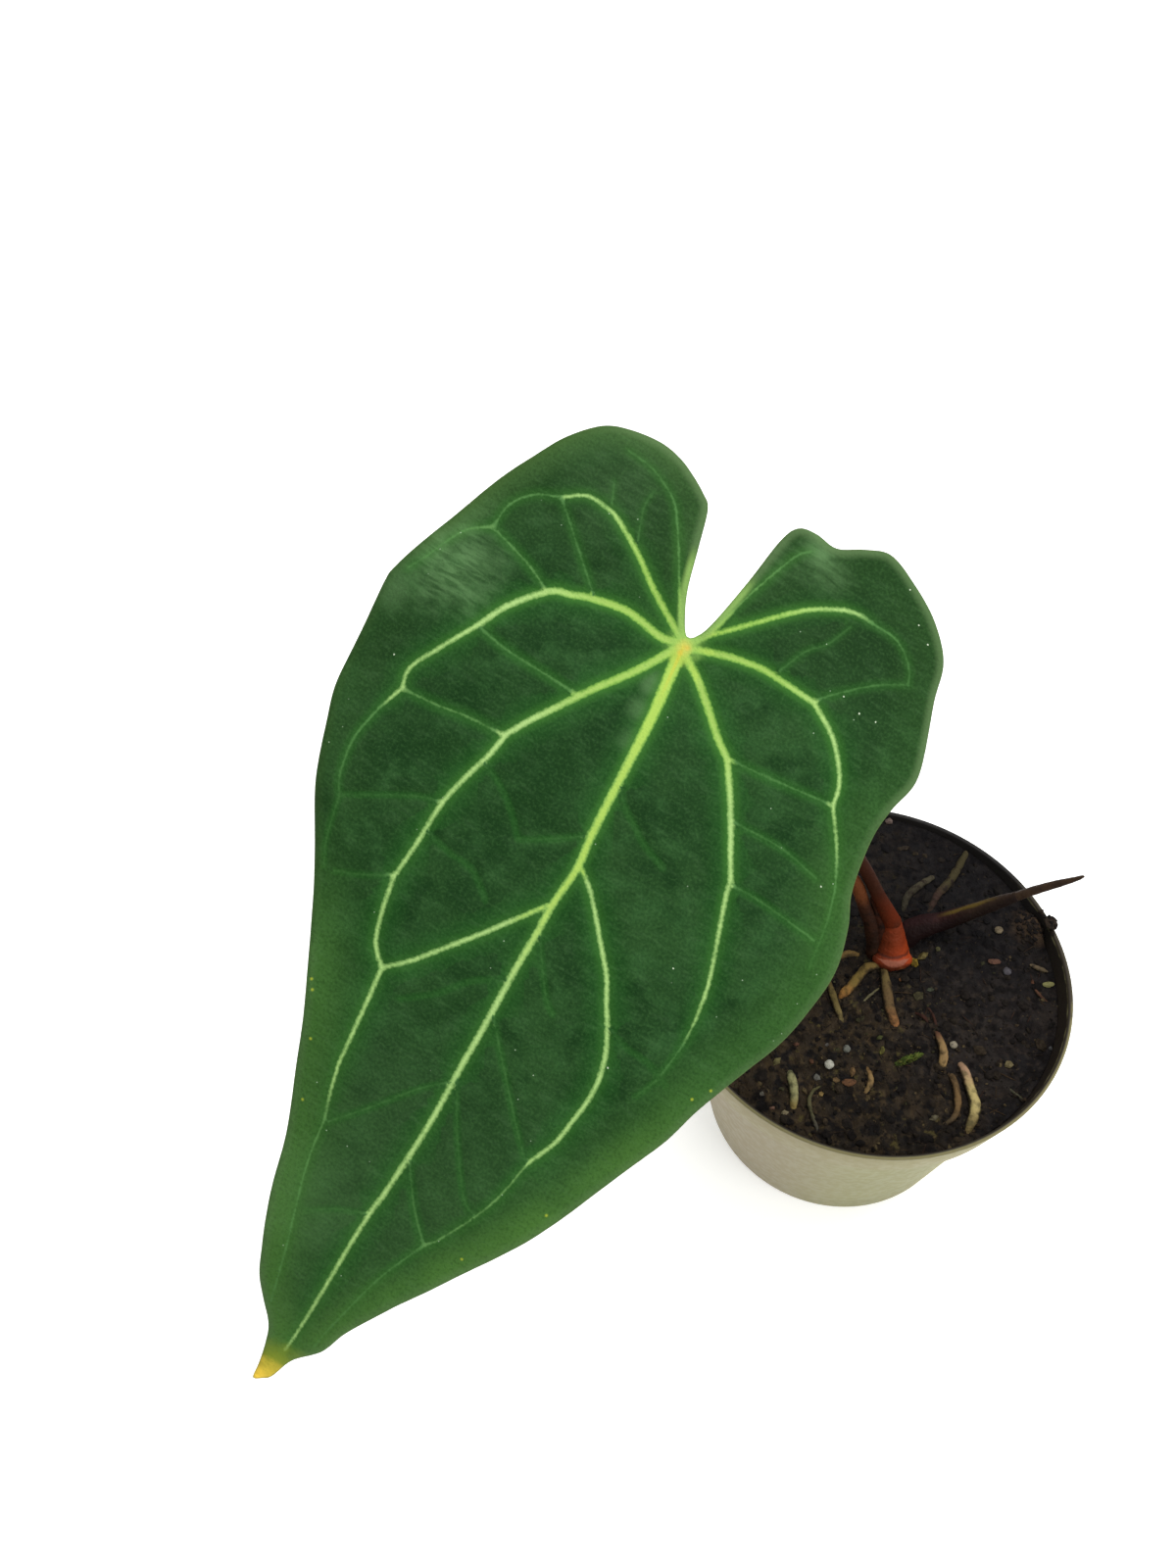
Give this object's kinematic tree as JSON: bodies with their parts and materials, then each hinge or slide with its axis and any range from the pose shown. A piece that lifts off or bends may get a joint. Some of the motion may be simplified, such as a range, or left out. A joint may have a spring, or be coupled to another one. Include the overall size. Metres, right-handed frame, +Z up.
{
  "type": "potted anthurium",
  "caption": "Young velvet-leaved anthurium in a round nursery pot: a large heart-shaped leaf on a long stalk, a rolled new leaf and thick roots on dark mix.",
  "frame": {"origin": "middle of the pot's flat base, where the pot rests on a surface", "axes": "+Z up along the pot's axis; the leaf's tip points towards -X and -Y, and the new leaf towards +X"},
  "size_m": [0.217, 0.1876, 0.2551],
  "materials": {
    "pot_plastic": "satin cream polypropylene, a little dirty under the rim",
    "growing_mix": "damp dark peat and bark mix",
    "crown_skin": "waxy red-brown skin with a pale pink scar",
    "stalk_skin": "smooth olive skin, red-brown at the foot",
    "old_stalk_skin": "drying brown skin",
    "sheath_skin": "dark maroon papery sheath",
    "new_leaf_skin": "rolled young blade, olive to brown",
    "root_skin": "velvety tan root skin",
    "bark": "weathered bark",
    "perlite": "chalky white grain",
    "moss": "soft green moss",
    "leaf_blade": "velvety dark green with pale green veins"
  },
  "bodies": {
    "root": {"pot": "pot_plastic", "soil": "growing_mix", "crown": "crown_skin", "leaf_stalk": "stalk_skin", "old_stalk": "old_stalk_skin", "new_leaf_sheath": "sheath_skin", "new_leaf": "new_leaf_skin", "root_crown_left": "root_skin", "root_crown_front": "root_skin", "root_left": "root_skin", "root_thin_left": "root_skin", "root_loop_pale": "root_skin", "root_loop_brown": "root_skin", "root_middle": "root_skin", "root_thin_red": "root_skin", "root_pale_left": "root_skin", "twig_long": "bark", "twig_short": "bark", "perlite_1": "perlite", "perlite_2": "perlite", "perlite_3": "perlite", "perlite_4": "perlite", "perlite_5": "perlite", "bark_chip_1": "bark", "bark_chip_2": "bark", "bark_chip_3": "bark", "bark_chip_4": "bark", "moss_sprig": "moss", "rim_crumb": "growing_mix", "leaf_blade": "leaf_blade"}
  },
  "joints": []
}
